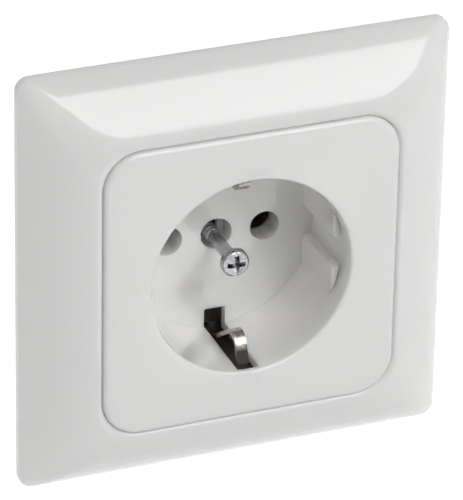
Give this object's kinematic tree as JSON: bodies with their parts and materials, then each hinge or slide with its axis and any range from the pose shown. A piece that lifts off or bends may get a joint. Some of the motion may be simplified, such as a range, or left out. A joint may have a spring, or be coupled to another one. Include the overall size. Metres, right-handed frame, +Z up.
{
  "type": "wall socket",
  "caption": "Flush wall socket with an arched square cover frame, a round well with split side guides, sprung earth clips, a contact base on a steel support bridge and spreading claws.",
  "frame": {"origin": "centre of the cover frame on the wall surface, at the middle of the box screw slots", "axes": "X to the right, Y into the wall, Z up; the face looks along -Y"},
  "size_m": [0.082, 0.043, 0.082],
  "materials": {
    "cover_plastic": "smooth moulded white",
    "base_plastic": "moulded dark grey",
    "zinc_steel": "zinc plated",
    "brass": "plain rolled brass",
    "nickel_strip": "nickel plated strip"
  },
  "bodies": {
    "socket": {"cover_frame": "cover_plastic", "socket_cover": "cover_plastic", "contact_base": "base_plastic", "contact_cover": "base_plastic", "support_bridge": "zinc_steel", "bridge_rivets": "zinc_steel", "cover_screw": "zinc_steel", "live_contact": "brass", "neutral_contact": "brass", "live_terminal": "brass", "neutral_terminal": "brass", "base_rivets": "brass", "earth_bracket": "nickel_strip", "earth_clamp": "nickel_strip", "earth_terminal_screw": "nickel_strip", "live_terminal_screw": "nickel_strip", "neutral_terminal_screw": "nickel_strip"},
    "claw_left": {"claw_left": "zinc_steel", "claw_screw_left": "zinc_steel"},
    "claw_right": {"claw_right": "zinc_steel", "claw_screw_right": "zinc_steel"}
  },
  "joints": [
    {"name": "claw_left_swing", "type": "hinge", "parent": "socket", "child": "claw_left", "pos_m": [-0.026, -0.0005, 0], "axis": [0, 0, 1], "range_deg": [0, 14]},
    {"name": "claw_right_swing", "type": "hinge", "parent": "socket", "child": "claw_right", "pos_m": [0.026, -0.0005, 0], "axis": [0, 0, -1], "range_deg": [0, 14]}
  ]
}
